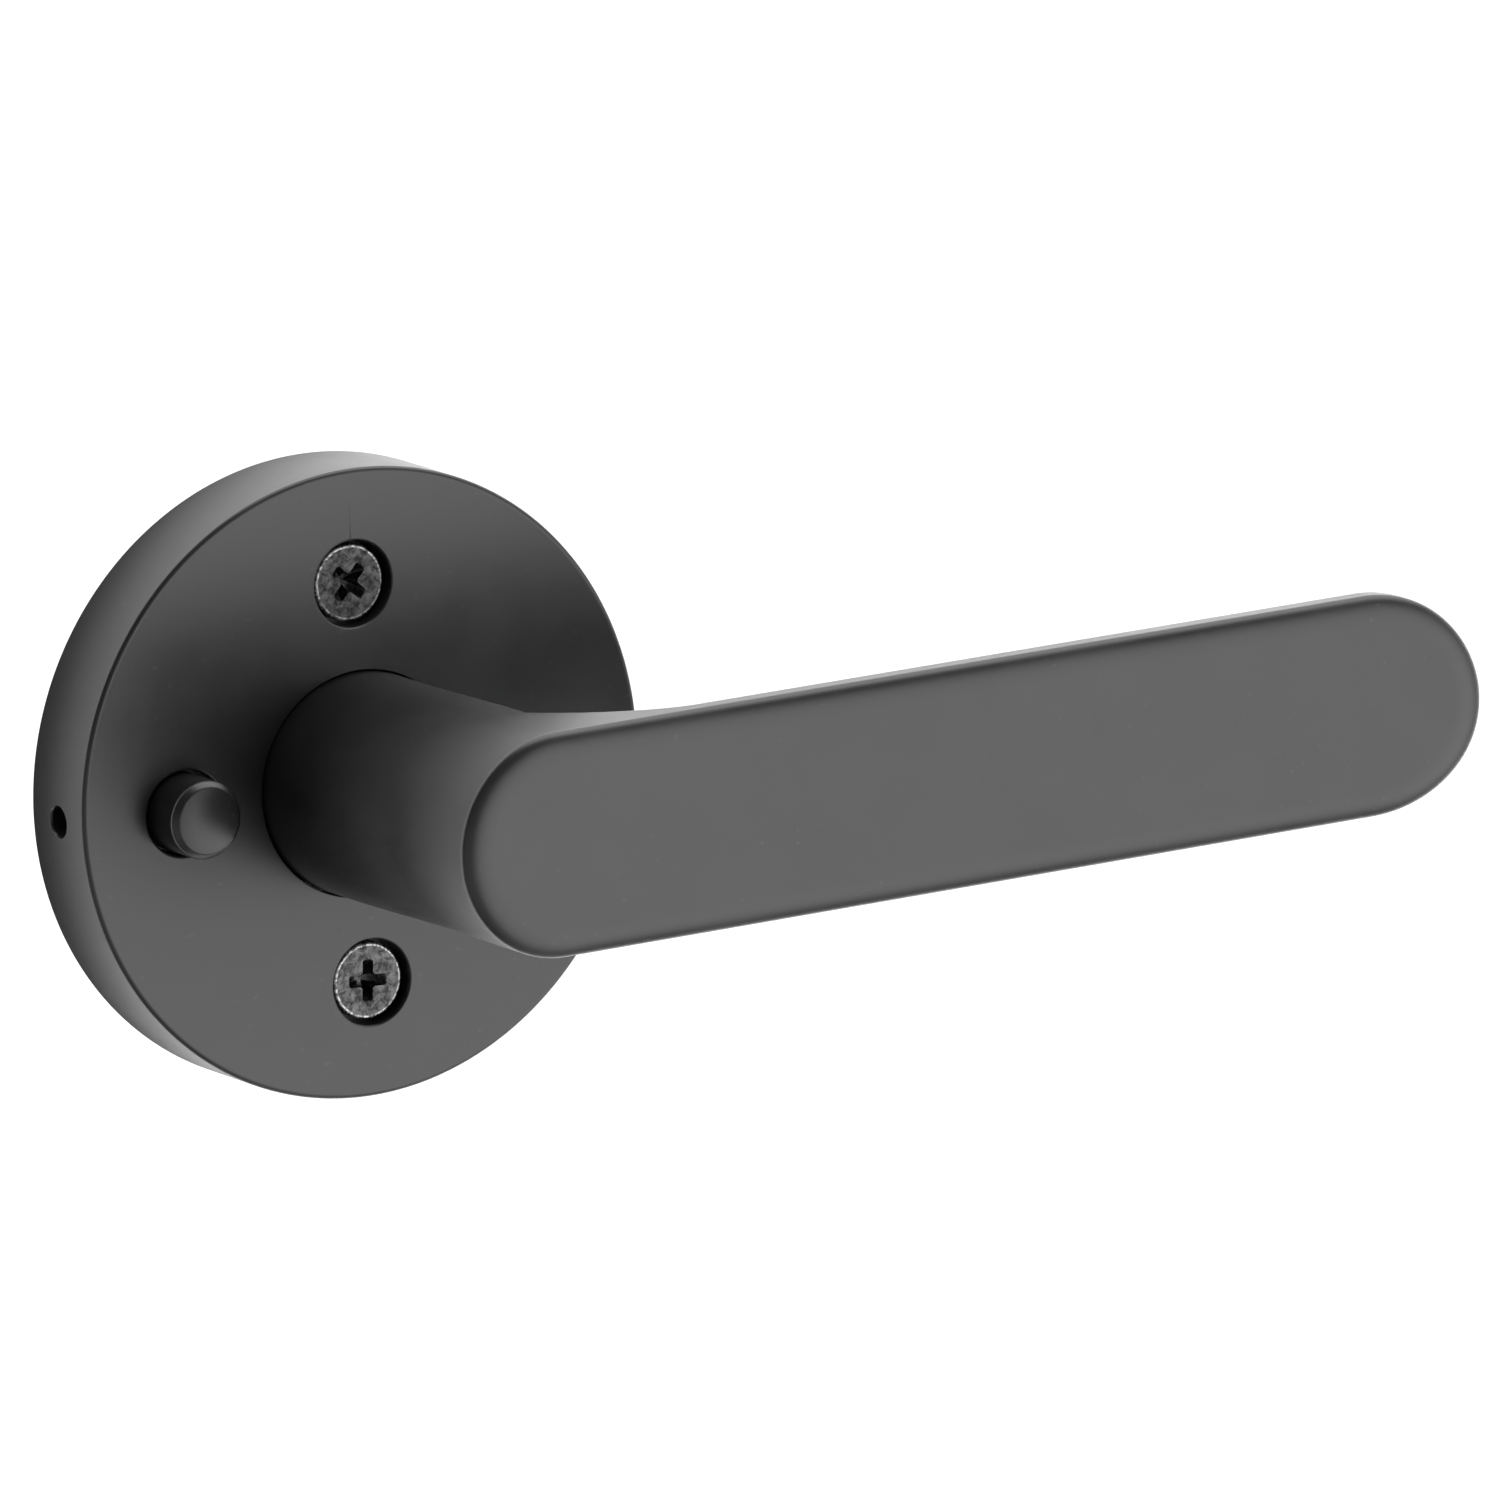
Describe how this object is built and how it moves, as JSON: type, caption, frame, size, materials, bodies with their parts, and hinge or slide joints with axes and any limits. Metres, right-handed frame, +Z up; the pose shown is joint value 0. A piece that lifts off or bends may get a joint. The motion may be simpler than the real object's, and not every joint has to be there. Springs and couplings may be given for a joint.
{
  "type": "door lever handle",
  "caption": "Interior door lever on a round rose, with a push pin privacy button, cross-drive through bolts, square spindle and a sprung return.",
  "frame": {"origin": "where the lever's turning axis meets the face of the door, the centre of the rose's back", "axes": "+X along the lever towards its tip, +Y into the door, +Z up, so the hand is on the -Y side"},
  "size_m": [0.1459, 0.094, 0.0666],
  "materials": {
    "black_paint": "matte",
    "dark_steel": "satin",
    "screw_steel": "satin",
    "zinc_plate": "satin",
    "spring_steel": "oiled",
    "nylon": "matte"
  },
  "bodies": {
    "rose_assembly": {"rose": "black_paint", "mounting_plate": "zinc_plate", "neck_bush": "nylon", "thrust_washer": "zinc_plate", "wave_washer": "spring_steel", "spring_cage": "zinc_plate", "return_spring": "spring_steel", "stop_pin_left": "zinc_plate", "stop_pin_right": "zinc_plate", "plate_screw_1": "screw_steel", "plate_screw_2": "screw_steel", "plate_screw_3": "screw_steel", "cage_screw_1": "screw_steel", "cage_screw_2": "screw_steel", "cage_screw_3": "screw_steel", "cage_screw_4": "screw_steel", "upper_mounting_screw": "dark_steel", "lower_mounting_screw": "dark_steel", "rim_grub_screw": "dark_steel", "pin_guide": "nylon", "pin_spring": "spring_steel"},
    "lever": {"lever": "black_paint", "lever_set_screw": "dark_steel", "circlip": "spring_steel", "drive_hub": "zinc_plate", "spindle": "zinc_plate"},
    "privacy_pin": {"privacy_button": "black_paint", "privacy_stem": "zinc_plate", "pin_e_clip": "spring_steel"}
  },
  "joints": [
    {"name": "lever_turn", "type": "hinge", "parent": "rose_assembly", "child": "lever", "pos_m": [0, 0, 0], "axis": [0, 1, 0], "range_deg": [-45, 45], "stiffness_Nm_per_rad": 1.2, "springref_deg": -2.98, "deforming": ["return_spring"]},
    {"name": "pin_slide", "type": "slide", "parent": "rose_assembly", "child": "privacy_pin", "axis": [0, 1, 0], "range_m": [0, 0.0045], "stiffness_N_per_m": 180, "springref_m": -0.002, "deforming": ["pin_spring"]}
  ]
}
